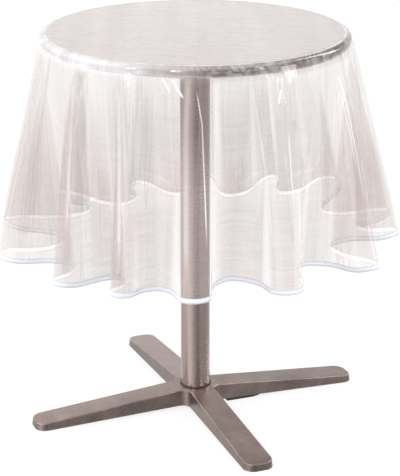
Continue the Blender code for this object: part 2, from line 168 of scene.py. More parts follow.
def arc(cx, cz, radius, start, end, steps):
    """Points of an arc about (cx, cz), from the angle start to the angle end in degrees."""
    points = []
    for i in range(steps + 1):
        a = math.radians(lerp(start, end, i / steps))
        points.append((cx + radius * math.cos(a), cz + radius * math.sin(a)))
    return points


def new_object(name, bm, material, sharp=30.0):
    """A smooth-shaded object from bm, with edges over the sharp angle in degrees kept crisp."""
    mesh = bpy.data.meshes.new(name)
    bm.to_mesh(mesh)
    bm.free()
    mesh.shade_smooth()
    mesh.set_sharp_from_angle(angle=math.radians(sharp))
    mesh.materials.append(material)
    obj = bpy.data.objects.new(name, mesh)
    bpy.context.scene.collection.objects.link(obj)
    return obj


def turned(name, profile, material, steps, at=(0, 0), closed=False):
    """A solid turned about the vertical through at, from a profile of (radius, height)."""
    bm = bmesh.new()
    loops = []
    for radius, height in profile:
        if radius < 1e-6:
            loops.append([bm.verts.new((at[0], at[1], height))])
            continue
        loop = []
        for k in range(steps):
            a = 2 * math.pi * k / steps
            x, y = at[0] + radius * math.cos(a), at[1] + radius * math.sin(a)
            loop.append(bm.verts.new((x, y, height)))
        loops.append(loop)
    pairs = list(zip(loops, loops[1:]))
    if closed:
        pairs.append((loops[-1], loops[0]))
    for a, b in pairs:
        for k in range(steps):
            j = (k + 1) % steps
            if len(a) == 1:
                bm.faces.new((a[0], b[k], b[j]))
            elif len(b) == 1:
                bm.faces.new((a[k], b[0], a[j]))
            else:
                bm.faces.new((a[k], b[k], b[j], a[j]))
    bmesh.ops.recalc_face_normals(bm, faces=bm.faces)
    return new_object(name, bm, material)


def apply_modifiers(obj):
    """Turns the object's modifiers into its mesh."""
    graph = bpy.context.evaluated_depsgraph_get()
    mesh = bpy.data.meshes.new_from_object(obj.evaluated_get(graph))
    obj.modifiers.clear()
    obj.data = mesh
    return obj


# ---- material helpers ----
def new_material(name):
    """A material with a Principled shader. Returns it with its tree, shader and output."""
    material = bpy.data.materials.new(name)
    material.use_nodes = True
    tree = material.node_tree
    return material, tree, tree.nodes["Principled BSDF"], tree.nodes["Material Output"]


def put(made, key, value):
    """Links that input of the node to value if value is a socket, or sets it to value."""
    socket = made.inputs[key]
    if isinstance(value, bpy.types.NodeSocket):
        socket.id_data.links.new(value, socket)
    else:
        socket.default_value = value


def node(tree, kind, inputs=None, **settings):
    """A new node with those settings, and with its inputs linked or set."""
    made = tree.nodes.new(kind)
    for key, value in settings.items():
        setattr(made, key, value)
    for key, value in (inputs or {}).items():
        put(made, key, value)
    return made


def maths(tree, operation, *values):
    made = node(tree, "ShaderNodeMath", operation=operation)
    for i, value in enumerate(values):
        put(made, i, value)
    return made.outputs[0]


def add(tree, first, *others):
    for other in others:
        first = maths(tree, "ADD", first, other)
    return first


def times(tree, first, *others):
    for other in others:
        first = maths(tree, "MULTIPLY", first, other)
    return first


def away_from(tree, value, centre):
    """How far value is from centre, on either side."""
    return maths(tree, "ABSOLUTE", maths(tree, "SUBTRACT", value, centre))


def weighted(tree, first, first_share, second, second_share):
    return add(tree, times(tree, first, first_share), times(tree, second, second_share))


def mix_colour(tree, share, first, second):
    """The first colour where share is 0, and the second where it is 1. On a Mix node the colours
    are inputs 6 and 7, and the mixed colour is output 2."""
    return node(tree, "ShaderNodeMix", {0: share, 6: first, 7: second}, data_type="RGBA").outputs[2]


def axes(tree, vector):
    return node(tree, "ShaderNodeSeparateXYZ", {"Vector": vector}).outputs


def coordinates(tree, scale=(1, 1, 1), kind="Object"):
    source = node(tree, "ShaderNodeTexCoord")
    return node(tree, "ShaderNodeMapping", {"Vector": source.outputs[kind], "Scale": scale}).outputs[0]


def fractal(tree, vector, scale, detail=3.0, rough=0.55, distortion=0.0):
    """Noise whose values lie mostly between 0.3 and 0.7."""
    return node(tree, "ShaderNodeTexNoise", {"Vector": vector, "Scale": scale, "Detail": detail,
                                             "Roughness": rough, "Distortion": distortion}).outputs["Fac"]


def spread(tree, value, low, high, to_low=0.0, to_high=1.0, ends="LINEAR"):
    """to_low where value is low or less, to_high where it is high or more, and a blend between."""
    inputs = {"Value": value, "From Min": low, "From Max": high, "To Min": to_low, "To Max": to_high}
    return node(tree, "ShaderNodeMapRange", inputs, interpolation_type=ends).outputs["Result"]


def ramp(tree, value, *stops, ends="LINEAR"):
    """The colour of a ramp through stops of (place, colour)."""
    made = node(tree, "ShaderNodeValToRGB", {"Fac": value})
    made.color_ramp.interpolation = ends
    elements = made.color_ramp.elements
    elements[0].position, elements[0].color = stops[0][0], (*stops[0][1], 1)
    elements[1].position, elements[1].color = stops[-1][0], (*stops[-1][1], 1)
    for place, colour in stops[1:-1]:
        elements.new(place).color = (*colour, 1)
    return made.outputs["Color"]


def bump(tree, height, strength, distance):
    inputs = {"Height": height, "Strength": strength, "Distance": distance}
    return node(tree, "ShaderNodeBump", inputs).outputs[0]


# ---- materials ----
def brushed_metal(name, dark, light, grain, roughness, depth, bands=(9, 9, 9)):
    """Brushed metal. grain and bands are how finely the brush marks and the broad tones repeat along
    each axis."""
    material, tree, shader, _ = new_material(name)
    marks = fractal(tree, coordinates(tree, grain), 1.0, 4.0, 0.65)
    cloudy = fractal(tree, coordinates(tree, bands), 1.0, 2.0)
    mixed = weighted(tree, marks, 0.6, cloudy, 0.4)
    put(shader, "Base Color", ramp(tree, mixed, (0.32, dark), (0.68, light)))
    put(shader, "Roughness", spread(tree, marks, 0.3, 0.7, roughness - 0.05, roughness + 0.07))
    put(shader, "Normal", bump(tree, marks, 0.35, depth))
    put(shader, "Metallic", 1.0)
    return material


def cast_metal(name, dark, light, roughness):
    """Satin plated casting: faint clouds, a very fine grain, and a painted highlight along the eased edges,
    stronger in places. An eased edge is where the surface faces neither up nor sideways."""
    material, tree, shader, _ = new_material(name)
    place = coordinates(tree)
    clouds = fractal(tree, place, 24.0, 4.0)
    fine = fractal(tree, place, 330.0, 3.0, 0.7)
    mixed = weighted(tree, clouds, 0.5, fine, 0.5)
    colour = ramp(tree, mixed, (0.34, dark), (0.66, light))
    # painted highlight: eased edges are lifted towards this brighter colour, more in some places
    bright = (*[channel * 1.7 for channel in light], 1)
    up = axes(tree, node(tree, "ShaderNodeTexCoord").outputs["Normal"])[2]
    eased = times(tree, spread(tree, up, 0.12, 0.32), spread(tree, up, 0.84, 0.95, 1.0, 0.0))
    painted_edge_line = times(tree, eased, spread(tree, clouds, 0.35, 0.60, 0.0, 0.32))
    put(shader, "Base Color", mix_colour(tree, painted_edge_line, colour, bright))
    put(shader, "Roughness", spread(tree, clouds, 0.3, 0.7, roughness - 0.04, roughness + 0.05))
    put(shader, "Normal", bump(tree, fine, 0.25, 0.0002))
    put(shader, "Metallic", 1.0)
    return material


def plain_finish(name, dark, light, roughness, scale, depth, metallic=0.0):
    """Moulded, turned or cast finish with a fine mottled surface."""
    material, tree, shader, _ = new_material(name)
    place = coordinates(tree)
    mottle = fractal(tree, place, scale, 4.0)
    broad = fractal(tree, place, scale / 12, 2.0)
    mixed = weighted(tree, mottle, 0.5, broad, 0.5)
    put(shader, "Base Color", ramp(tree, mixed, (0.35, dark), (0.65, light)))
    put(shader, "Roughness", spread(tree, mottle, 0.3, 0.7, roughness - 0.06, roughness + 0.08))
    put(shader, "Normal", bump(tree, mottle, 0.4, depth))
    put(shader, "Metallic", metallic)
    return material


def board_finish():
    """The board inside the top: pressed chips in resin."""
    material, tree, shader, _ = new_material("board")
    place = coordinates(tree)
    chips = node(tree, "ShaderNodeTexVoronoi", {"Vector": place, "Scale": 260.0, "Randomness": 1.0})
    grain = fractal(tree, place, 90.0, 5.0)
    mixed = weighted(tree, chips.outputs["Distance"], 0.5, grain, 0.5)
    tones = ramp(tree, mixed, (0.3, (0.30, 0.21, 0.13)), (0.6, (0.52, 0.40, 0.27)))
    put(shader, "Base Color", tones)
    put(shader, "Roughness", spread(tree, grain, 0.3, 0.7, 0.65, 0.85))
    put(shader, "Normal", bump(tree, mixed, 0.5, 0.0006))
    return material


# ---- zones of the film: where each change starts and where it is complete ----
# in metres from the cloth's centre, measured along the film
FLAT_ENDS = (0.268, 0.272)
RIM_BEGINS = (0.272, 0.284)
RIM_ENDS = (0.30, 0.315)
BEND_BEGINS = (0.2745, 0.2785)
BEND_ENDS = (0.2795, 0.2835)
CREASE_LIGHT_BEGINS = (0.30, 0.34)
SHADE_BEGINS = (0.315, 0.34)
MILKY_SHADE_BEGINS = (0.38, 0.57)
# in metres to the right of the axis
RIM_GLARE_ENDS = (-0.15, 0.02)
RIGHT_SIDE_BEGINS = (-0.06, 0.03)
SHADE_AT = 0.0040
# in metres behind the axis
FRONT_ENDS = (-0.20, -0.16)
# in metres to either side: of the axis, and of SHADE_AT
MIDDLE_ENDS = (0.16, 0.29)
SHADE_ENDS = (0.0020, 0.0075)

FILM_TINT = (0.997, 0.985, 0.980, 1)
FILM_SHADOW = (0.29, 0.205, 0.175, 1)
FILM_GLARE = (0.86, 0.86, 0.89, 1)


def add_front_glints(tree, crease_highlight, place):
    """Returns the stronger of the painted crease highlights and the painted glints listed above, and a mask:
    1 in front, 0 behind.
    """
    across, back, height = axes(tree, place)
    in_front = spread(tree, back, *FRONT_ENDS, 1.0, 0.0)
    for half, strength, places in FRONT_GLINTS:
        top, low = places[0][0], places[-1][0]
        fade = 0.2 * (top - low)
        centre = places[0][1]
        for (high, start), (end_height, end) in zip(places, places[1:]):
            centre = add(tree, centre, spread(tree, height, end_height, high, end - start, 0.0))
        line = spread(tree, away_from(tree, across, centre), 0.3 * half, half, strength, 0.0)
        line = times(tree, line, spread(tree, height, low, low + fade))
        line = times(tree, line, spread(tree, height, top - 0.3 * fade, top, 1.0, 0.0))
        crease_highlight = maths(tree, "MAXIMUM", crease_highlight, times(tree, line, in_front))
    return crease_highlight, in_front


def film_material():
    """Clear soft film: a clear body, a pale milky layer that is strongest low down, in the middle and seen
    square on, where it is painted shade that greys the film, with streaks and painted crease highlights down
    the drop, painted glare on the left of the rim and a painted highlight along its top edge, painted
    mottled shade with lighter painted smears on its right, and gloss over it all."""
    material, tree, shader, output = new_material("clear_film")
    place = coordinates(tree)
    cut = coordinates(tree, kind="UV")
    fall = axes(tree, cut)[1]
    across = axes(tree, place)[0]
    facing = node(tree, "ShaderNodeLayerWeight", {"Blend": 0.5}).outputs["Facing"]

    def along_cut(scale, detail, rough=0.55, distortion=0.0):
        stretched = node(tree, "ShaderNodeMapping", {"Vector": cut, "Scale": scale}).outputs[0]
        return fractal(tree, stretched, 1.0, detail, rough, distortion)

    streaks = along_cut((22, 1.2, 1), 2.5, 0.5)
    patches = fractal(tree, place, 8.0, 3.0)
    cross = fractal(tree, coordinates(tree, (9, 9, 150)), 1.0, 3.0, 0.6)

    # the milky layer, stronger low down, in the middle and seen square on: there it is painted shade that
    # greys the film
    lower = spread(tree, fall, *MILKY_SHADE_BEGINS, ends="SMOOTHSTEP")
    square_on_shade = spread(tree, facing, 0.28, 0.72, 1.0, 0.10, "SMOOTHSTEP")
    middle = spread(tree, maths(tree, "ABSOLUTE", across), *MIDDLE_ENDS, 1.0, 0.26, "SMOOTHSTEP")
    grain = times(tree, lower, spread(tree, cross, 0.3, 0.7, 0.30, 0.41))
    mixed = weighted(tree, streaks, 0.6, patches, 0.4)
    haze_and_painted_light = add(tree, spread(tree, mixed, 0.36, 0.64, 0.04, 0.11), times(tree, grain, middle))
    bands = spread(tree, along_cut((15, 0.35, 1), 1.0, 0.5), 0.58, 0.61, 1.0, 0.72)
    haze_and_painted_light = times(tree, haze_and_painted_light, square_on_shade, bands)

    # fine lines and painted crease highlights down the drop
    vein = away_from(tree, along_cut((17, 0.7, 1), 1.0, 0.5), 0.5)
    fine_vein = away_from(tree, along_cut((23, 0.8, 1), 2.0, 0.5, 0.3), 0.5)
    haze_and_painted_light = add(tree, haze_and_painted_light, spread(tree, vein, 0.0, 0.010, 0.16, 0.0),
               spread(tree, fine_vein, 0.0, 0.009, 0.06, 0.0))
    crease_highlight = spread(tree, along_cut((46, 0.45, 1), 1.5, 0.5), 0.57, 0.66, 0.0, 0.20)
    crease_highlight = times(tree, crease_highlight, spread(tree, fall, *CREASE_LIGHT_BEGINS))
    crease_highlight, in_front = add_front_glints(tree, crease_highlight, place)
    haze_and_painted_light = add(tree, haze_and_painted_light, crease_highlight)

    # hairlines where the film lies on the flat top
    hairline = away_from(tree, fractal(tree, place, 8.0, 3.0, 0.55, 1.2), 0.5)
    flat_part = times(tree, spread(tree, fall, *FLAT_ENDS, 1.0, 0.0),
                      spread(tree, fractal(tree, place, 4.0, 2.0), 0.45, 0.6, 0.3, 1.0))
    haze_and_painted_light = add(tree, haze_and_painted_light, times(tree, flat_part, spread(tree, hairline, 0.0, 0.018, 0.22, 0.0)))

    # the rim: painted glare makes it pale on the left, and painted shade with lighter painted smears makes
    # it mottled dark on the right
    rim = times(tree, spread(tree, fall, *RIM_BEGINS), spread(tree, fall, *RIM_ENDS, 1.0, 0.0))
    smear = away_from(tree, fractal(tree, place, 30.0, 3.0, 0.6, 1.2), 0.5)
    right_side = spread(tree, across, *RIGHT_SIDE_BEGINS)
    rim_glare = times(tree, rim, spread(tree, across, *RIM_GLARE_ENDS, 0.50, 0.0))
    haze_and_painted_light = add(tree, haze_and_painted_light, times(tree, rim_glare, spread(tree, streaks, 0.35, 0.65, 0.9, 1.15)))
    rim_light_smears = times(tree, rim, spread(tree, smear, 0.0, 0.10, 0.03, 0.26))
    haze_and_painted_light = add(tree, haze_and_painted_light, times(tree, rim_light_smears, right_side))
    # painted highlight along the top edge of the rim, where the film turns over it
    rim_top_highlight = times(tree, spread(tree, fall, *BEND_BEGINS), spread(tree, fall, *BEND_ENDS, 1.0, 0.0))
    haze_and_painted_light = maths(tree, "MAXIMUM", haze_and_painted_light, times(tree, rim_top_highlight, spread(tree, streaks, 0.35, 0.65, 0.35, 0.75)))
    rim_glare = maths(tree, "MAXIMUM", rim_glare, rim_top_highlight)

    # colour of the milky layer: darker low down as painted shade, and whitened by painted glare
    warm = fractal(tree, coordinates(tree, (1, 1, 0.6)), 11.0, 2.0)
    upper_tone = ramp(tree, warm, (0.36, (0.58, 0.54, 0.54)), (0.64, (0.66, 0.595, 0.58)))
    lower_tone = ramp(tree, warm, (0.40, (0.42, 0.365, 0.345)), (0.60, (0.48, 0.375, 0.37)))
    tone = mix_colour(tree, lower, upper_tone, lower_tone)
    # painted glare: the rim's glare and the crease highlights whiten the colour towards FILM_GLARE
    glare = maths(tree, "MULTIPLY_ADD", rim_glare, 2.0, times(tree, crease_highlight, 2.2))
    put(shader, "Base Color", mix_colour(tree, glare, tone, FILM_GLARE))
    put(shader, "Roughness", spread(tree, patches, 0.3, 0.7, 0.18, 0.3))

    # darkening of the clear body: painted shade on the right of the rim and down one fold at the front, and
    # darker at a slant
    shadow = times(tree, rim, right_side, spread(tree, smear, 0.0, 0.13, 0.46, 0.06))
    shadow = add(tree, shadow, times(tree, maths(tree, "POWER", facing, 12.0), 0.34))
    # painted shade: a dark stripe down one fold at the front
    fold = spread(tree, away_from(tree, across, SHADE_AT), *SHADE_ENDS, 0.32, 0.0)
    fold = times(tree, fold, in_front)
    shadow = add(tree, shadow, times(tree, fold, spread(tree, fall, *SHADE_BEGINS)))

    tint = mix_colour(tree, shadow, FILM_TINT, FILM_SHADOW)
    clear = node(tree, "ShaderNodeBsdfTransparent", {"Color": tint})
    body = node(tree, "ShaderNodeMixShader", {0: haze_and_painted_light, 1: clear.outputs[0], 2: shader.outputs[0]})
    ripple = bump(tree, fractal(tree, coordinates(tree, (1, 1, 0.35)), 60.0, 2.0), 0.25, 0.0016)
    gloss = node(tree, "ShaderNodeBsdfGlossy", {"Color": (1, 1, 1, 1), "Roughness": 0.05, "Normal": ripple})
    slant = node(tree, "ShaderNodeLayerWeight", {"Blend": 0.5, "Normal": ripple}).outputs["Facing"]
    share = maths(tree, "MULTIPLY_ADD", maths(tree, "POWER", slant, 5.0), 0.80, 0.065)
    whole = node(tree, "ShaderNodeMixShader", {0: share, 1: body.outputs[0], 2: gloss.outputs[0]})
    put(output, "Surface", whole.outputs[0])
    return material


# ---- how far apart the tape's 11 rows are in its texture, and where the middle one, its fold, is ----
TAPE_ROW = 0.002
TAPE_FOLD = 0.010


def tape_material():
    """White woven bias tape: a fine diagonal weave. Its inner face is a clean bright white that gives off a
    painted glow, and its outer face is painted a cooler, greyer white as shade. Painted shade darkens it at
    the fold and at the edges."""
    material, tree, shader, _ = new_material("white_tape")
    along = coordinates(tree, kind="UV")
    slanting = node(tree, "ShaderNodeMapping", {"Vector": along, "Rotation": (0, 0, math.radians(45))})
    threads = {"Vector": slanting.outputs[0], "Scale": 520.0, "Distortion": 0.6}
    warp = node(tree, "ShaderNodeTexWave", threads, bands_direction="X")
    weft = node(tree, "ShaderNodeTexWave", threads, bands_direction="Y")
    weave = maths(tree, "MAXIMUM", warp.outputs["Fac"], weft.outputs["Fac"])
    cloudy = fractal(tree, coordinates(tree), 30.0, 3.0)
    mixed = weighted(tree, weave, 0.4, cloudy, 0.6)
    inner = ramp(tree, mixed, (0.3, (0.86, 0.87, 0.90)), (0.75, (0.96, 0.96, 0.97)))
    # painted shade: the outer face is a greyer, bluer copy of the inner white
    outer = ramp(tree, mixed, (0.3, (0.64, 0.66, 0.72)), (0.75, (0.76, 0.775, 0.83)))

    row = axes(tree, along)[1]
    outside = spread(tree, row, TAPE_FOLD - 0.001, TAPE_FOLD + 0.001)
    # painted shade at the fold and along both edges, towards a blue-grey
    fold_shade = spread(tree, away_from(tree, row, TAPE_FOLD), 0.0038, 0.0056, 0.48, 0.0)
    from_edge = maths(tree, "MINIMUM", row, maths(tree, "SUBTRACT", 2 * TAPE_FOLD, row))
    darker = add(tree, fold_shade, spread(tree, from_edge, 0.0021, 0.0030, 0.35, 0.0))
    face = mix_colour(tree, outside, inner, outer)
    put(shader, "Base Color", mix_colour(tree, darker, face, (0.40, 0.43, 0.50, 1)))
    # painted glow: the tape gives off light, most on its inner face and less where its shade is painted
    painted_glow = maths(tree, "SUBTRACT", spread(tree, outside, 0.0, 1.0, 0.45, 0.08), times(tree, darker, 0.35))
    put(shader, "Emission Strength", maths(tree, "MAXIMUM", painted_glow, 0.0))
    put(shader, "Emission Color", (1, 1, 1, 1))
    put(shader, "Roughness", spread(tree, weave, 0.0, 1.0, 0.75, 0.6))
    put(shader, "Normal", bump(tree, weave, 0.5, 0.0003))
    put(shader, "Sheen Weight", 0.3)
    return material


brushed_top = brushed_metal("brushed_top", (0.48, 0.435, 0.42), (0.73, 0.68, 0.665),
                            grain=(5, 120, 60), roughness=0.22, depth=0.000004, bands=(20, 1.5, 9))
brushed_column = brushed_metal("brushed_column", (0.535, 0.438, 0.414), (0.570, 0.468, 0.444),
                               grain=(20, 20, 1400), roughness=0.28, depth=0.000001)
satin_casting = cast_metal("satin_casting", (0.256, 0.203, 0.190), (0.436, 0.347, 0.326), 0.32)
ring_rubber = plain_finish("ring_rubber", (0.055, 0.044, 0.041), (0.10, 0.080, 0.074), 0.5, 500.0, 0.0002)
dark_rubber = plain_finish("dark_rubber", (0.018, 0.015, 0.015), (0.04, 0.034, 0.032), 0.6, 500.0, 0.0003)
black_plastic = plain_finish("black_plastic", (0.015, 0.015, 0.015), (0.03, 0.03, 0.03), 0.48, 700.0, 0.0002)
bracket_iron = plain_finish("bracket_iron", (0.018, 0.018, 0.018), (0.045, 0.045, 0.045), 0.5, 420.0,
                            0.0005, metallic=0.4)
zinc_steel = plain_finish("zinc_steel", (0.46, 0.46, 0.48), (0.62, 0.62, 0.62), 0.3, 380.0, 0.0002,
                          metallic=1.0)
board = board_finish()
film = film_material()
tape = tape_material()
thread = plain_finish("white_thread", (0.70, 0.71, 0.74), (0.86, 0.86, 0.88), 0.6, 1800.0, 0.0001)


# ---- table top, column and seat ring ----
def make_top():
    """A metal skin, rolled round a half-round edge and turned in to a short lip underneath."""
    middle = TABLE_HEIGHT - RIM_RADIUS
    low = TABLE_HEIGHT - 2 * RIM_RADIUS
    flat = [(FLAT_RADIUS * k / 12, TABLE_HEIGHT) for k in range(12)]
    outer = arc(FLAT_RADIUS, middle, RIM_RADIUS, 90, -90, 24)
    inner = arc(FLAT_RADIUS, middle, RIM_RADIUS - SKIN_WALL, -90, 90, 24)
    lip = FLAT_RADIUS - SKIN_LIP
    profile = [*flat, *outer, (lip, low), (lip, low + SKIN_WALL), *inner, (0, TABLE_HEIGHT - SKIN_WALL)]
    return turned("table_top_skin", profile, brushed_top, 240)


def make_column():
    """A tube with its outer edges eased."""
    top, foot = column_high.z, column_low.z
    inner, eased = COLUMN_RADIUS - COLUMN_WALL, COLUMN_RADIUS - COLUMN_EASE
    high, low = top - COLUMN_EASE, foot + COLUMN_EASE
    profile = [(inner, top), (eased, top), (COLUMN_RADIUS, high),
               *[(COLUMN_RADIUS, lerp(high, low, k / 24)) for k in range(1, 24)],
               (COLUMN_RADIUS, low), (eased, foot), (inner, foot)]
    return turned("column", profile, brushed_column, 160, closed=True)


def make_seat_ring():
    """A flat ring with its outer edges rounded."""
    low, high = ring_low.z, ring_high.z
    middle = ring_high.x - RING_EASE
    profile = [(RING_INNER_RADIUS, high), *arc(middle, high - RING_EASE, RING_EASE, 90, 0, 4),
               *arc(middle, low + RING_EASE, RING_EASE, 0, -90, 4), (RING_INNER_RADIUS, low)]
    return turned("seat_ring_rubber", profile, ring_rubber, 128, closed=True)


# ---- cast base ----
def arm_direction(number):
    a = ARM_ANGLE + number * 2 * math.pi / ARM_COUNT
    return Vector((math.cos(a), math.sin(a)))


def arm_slope(at_hub, at_tip, along):
    """A height that is level over the hub and then slopes straight down the arm."""
    corner = ARM_HALF_WIDTH_HUB + HUB_FILLET * (1 - math.sqrt(0.5))
    return lerp(at_hub, at_tip, max(0.0, (along - corner) / (ARM_REACH - corner)))


def arm_stations():
    """(distance from the axis, half width) down one arm: hub fillet, straight sides, tip."""
    stations = []
    fillet_end = ARM_HALF_WIDTH_HUB + HUB_FILLET
    for i in range(11):
        a = math.radians(45 * i / 10)
        along = fillet_end - HUB_FILLET * math.sin(math.radians(45) - a)
        half = fillet_end - HUB_FILLET * math.cos(math.radians(45) - a)
        stations.append((along, half))
    corner = ARM_REACH - TIP_CORNER
    for i in range(1, 9):
        half = lerp(ARM_HALF_WIDTH_HUB, ARM_HALF_WIDTH_TIP, i / 8)
        stations.append((lerp(fillet_end, corner, i / 8), half))
    for i in range(1, 13):
        a = math.radians(90 * i / 12)
        half = ARM_HALF_WIDTH_TIP - TIP_CORNER * (1 - math.cos(a))
        stations.append((corner + TIP_CORNER * math.sin(a), half))
    return stations


def add_arm(bm, weight, number):
    """One arm's top and outer walls, with the top's edges weighted for the bevel. Returns the
    right-hand corner of its top at the hub."""
    along = arm_direction(number)
    across = Vector((-along.y, along.x))
    stations = arm_stations()
    left, right, left_foot, right_foot = [], [], [], []
    for reach, half in stations:
        top = arm_slope(HUB_TOP, TIP_TOP, reach)
        foot = arm_slope(HUB_WALL_FOOT, TIP_WALL_FOOT, reach)
        draft_starts = (1 - END_DRAFT_SHARE) * ARM_REACH
        past = WALL_DRAFT * max(0.0, (reach - draft_starts) / (END_DRAFT_SHARE * ARM_REACH))
        for side, tops, feet in ((1, left, left_foot), (-1, right, right_foot)):
            spot = along * reach + across * half * side
            low = along * (reach + past) + across * (half + WALL_DRAFT) * side
            if reach == stations[0][0]:
                low = spot * (1 + WALL_DRAFT / spot.length)
            tops.append(bm.verts.new((spot.x, spot.y, top)))
            feet.append(bm.verts.new((low.x, low.y, foot)))
    for i in range(len(left) - 1):
        bm.faces.new((left[i], right[i], right[i + 1], left[i + 1]))
        bm.faces.new((left[i], left[i + 1], left_foot[i + 1], left_foot[i]))
        bm.faces.new((right[i + 1], right[i], right_foot[i], right_foot[i + 1]))
        bm.edges.get((left[i], left[i + 1]))[weight] = 1.0
        bm.edges.get((right[i], right[i + 1]))[weight] = 1.0
    bm.faces.new((left[-1], right[-1], right_foot[-1], left_foot[-1]))
    bm.edges.get((left[-1], right[-1]))[weight] = 1.0
    return right[0]


def carve(base, operation, radius, low, high, at=(0, 0)):
    """Joins an upright cylinder to the base, or cuts one out of it."""
    tool = turned("tool", [(0, high), (radius, high), (radius, low), (0, low)], satin_casting, 48, at)
    cut = base.modifiers.new("cut", "BOOLEAN")
    cut.operation = operation
    cut.object = tool
    apply_modifiers(base)
    bpy.data.objects.remove(tool)


def close_seams(mesh):
    """Welds and fills the slivers that the cuts leave, so that the casting stays closed."""
    bm = bmesh.new()
    bm.from_mesh(mesh)
    bmesh.ops.remove_doubles(bm, verts=bm.verts, dist=0.00001)
    bmesh.ops.dissolve_degenerate(bm, edges=bm.edges, dist=0.000001)
    bmesh.ops.delete(bm, geom=[edge for edge in bm.edges if edge.is_wire], context="EDGES")
    bmesh.ops.holes_fill(bm, edges=[edge for edge in bm.edges if edge.is_boundary], sides=8)
    bm.to_mesh(mesh)
    bm.free()


def make_base():
    """One casting, hollow underneath: the arms, their glide bosses, the hub boss and a spigot."""
    bm = bmesh.new()
    weight = bm.edges.layers.float.new("bevel_weight_edge")
    bm.faces.new([add_arm(bm, weight, number) for number in range(ARM_COUNT)])
    bmesh.ops.remove_doubles(bm, verts=bm.verts, dist=0.00002)
    bmesh.ops.recalc_face_normals(bm, faces=bm.faces)
    base = new_object("cast_base", bm, satin_casting, 50)
    wall = base.modifiers.new("wall", "SOLIDIFY")
    wall.thickness = CASTING_WALL
    wall.offset = -1
    wall.use_even_offset = True
    ease = base.modifiers.new("edge", "BEVEL")
    ease.limit_method = "WEIGHT"
    ease.use_clamp_overlap = False
    ease.loop_slide = False
    ease.width = CASTING_EASE
    ease.segments = 3
    for number in range(ARM_COUNT):
        spot = arm_direction(number) * GLIDE_AT
        boss_top = arm_slope(HUB_TOP, TIP_TOP, GLIDE_AT) - GLIDE_BOSS_SINK
        carve(base, "UNION", GLIDE_BOSS_RADIUS, GLIDE_BOSS_FOOT, boss_top, spot)
        carve(base, "DIFFERENCE", GLIDE_HOLE_RADIUS, GLIDE_HOLE_FOOT, GLIDE_HOLE_TOP, spot)
    carve(base, "UNION", HUB_BOSS_RADIUS, HUB_BOSS_FOOT, HUB_TOP - HUB_BOSS_SINK)
    carve(base, "UNION", SPIGOT_RADIUS, HUB_TOP - SPIGOT_SINK, HUB_TOP + SPIGOT_HEIGHT)
    carve(base, "DIFFERENCE", HUB_BORE_RADIUS, 0.0, TABLE_HEIGHT)
    base = apply_modifiers(base)
    close_seams(base.data)
    base.data.set_sharp_from_angle(angle=math.radians(40))
    crisp = base.modifiers.new("flat_faces", "WEIGHTED_NORMAL")
    crisp.keep_sharp = True
    return apply_modifiers(base)


# ---- cloth ----
def polar(degrees, reach):
    a = math.radians(degrees)
    return Vector((math.cos(a), math.sin(a))) * reach


def hem_points():
    """The points of FOLDS, seen from above. Necks and shoulders lie part of the way out from the
    valley beside them to the crest."""
    neck, shoulder = 0.3, 0.8
    points = []
    for i, (neck_a, shoulder_a, crest, reach, shoulder_b, neck_b, valley, inner) in enumerate(FOLDS):
        before = FOLDS[i - 1][7]
        points.append(polar(neck_a, lerp(before, reach, neck)))
        points.append(polar(shoulder_a, lerp(before, reach, shoulder)))
        points.append(polar(crest, reach))
        points.append(polar(shoulder_b, lerp(inner, reach, shoulder)))
        points.append(polar(neck_b, lerp(inner, reach, neck)))
        points.append(polar(valley, inner))
    return points


def spline(points, samples):
    """Evenly spaced points on a closed centripetal Catmull-Rom curve through the given ones."""
    fine, count = [], len(points)
    for i in range(count):
        a, b, c, d = (points[(i + k - 1) % count] for k in range(4))
        t1 = math.sqrt((b - a).length)
        t2 = t1 + math.sqrt((c - b).length)
        t3 = t2 + math.sqrt((d - c).length)
        for step in range(24):
            t = lerp(t1, t2, step / 24)
            ab = a * ((t1 - t) / t1) + b * (t / t1)
            bc = b * ((t2 - t) / (t2 - t1)) + c * ((t - t1) / (t2 - t1))
            cd = c * ((t3 - t) / (t3 - t2)) + d * ((t - t2) / (t3 - t2))
            abc = ab * ((t2 - t) / t2) + bc * (t / t2)
            bcd = bc * ((t3 - t) / (t3 - t1)) + cd * ((t - t1) / (t3 - t1))
            fine.append(abc * ((t2 - t) / (t2 - t1)) + bcd * ((t - t1) / (t2 - t1)))
    reach = [0.0]
    for a, b in zip(fine, fine[1:] + fine[:1]):
        reach.append(reach[-1] + (b - a).length)
    even, i = [], 0
    for k in range(samples):
        want = reach[-1] * k / samples
        while reach[i + 1] < want:
            i += 1
        share = (want - reach[i]) / (reach[i + 1] - reach[i])
        even.append(fine[i].lerp(fine[(i + 1) % len(fine)], share))
    return even


def rounded(values, window):
    """A closed list smoothed over a window of samples each way, twice."""
    count = len(values)
    for _ in range(2):
        total = values[0] * 0.0
        for k in range(-window, window + 1):
            total = total + values[k]
        out = []
        for k in range(count):
            out.append(total / (2 * window + 1))
            total = total + values[(k + window + 1) % count] - values[k - window]
        values = out
    return values


HEM = rounded(spline(hem_points(), HEM_SAMPLES), 3)


def rim_angles():
    """Where on the rim each line down to the hem starts: the folds gather evenly along it."""
    angles = [math.atan2(HEM[0].y, HEM[0].x)]
    for a, b in zip(HEM, HEM[1:]):
        angles.append(angles[-1] + a.angle_signed(b, 0.0) * -1)
    offsets = [a - 2 * math.pi * k / HEM_SAMPLES for k, a in enumerate(angles)]
    return [o + 2 * math.pi * k / HEM_SAMPLES for k, o in enumerate(rounded(offsets, HEM_SAMPLES // 26))]


RIM_ANGLES = rim_angles()
BULGE = 0.22
CREASE_COUNT = 110
GOLDEN_SHARE = 0.6180339887


